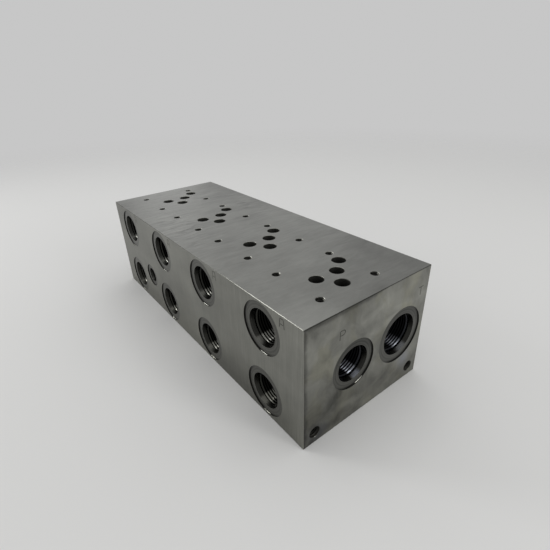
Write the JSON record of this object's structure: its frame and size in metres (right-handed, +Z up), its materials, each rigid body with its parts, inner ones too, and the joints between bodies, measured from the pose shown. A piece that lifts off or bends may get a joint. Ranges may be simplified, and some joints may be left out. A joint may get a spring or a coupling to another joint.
{
  "type": "hydraulic valve subplate",
  "caption": "Drilled steel manifold block that carries a row of directional valves on top, with O-ring work ports in a long side and pressure and tank ports in an end.",
  "frame": {"origin": "middle of the block's underside", "axes": "+X along the block towards the end with the pressure and tank ports, -Y out of the side with the work ports, +Z up out of the valve face"},
  "size_m": [0.3302, 0.127, 0.1016],
  "materials": {
    "milled_steel": "milled"
  },
  "bodies": {
    "root": {"subplate_block": "milled_steel"}
  },
  "joints": []
}
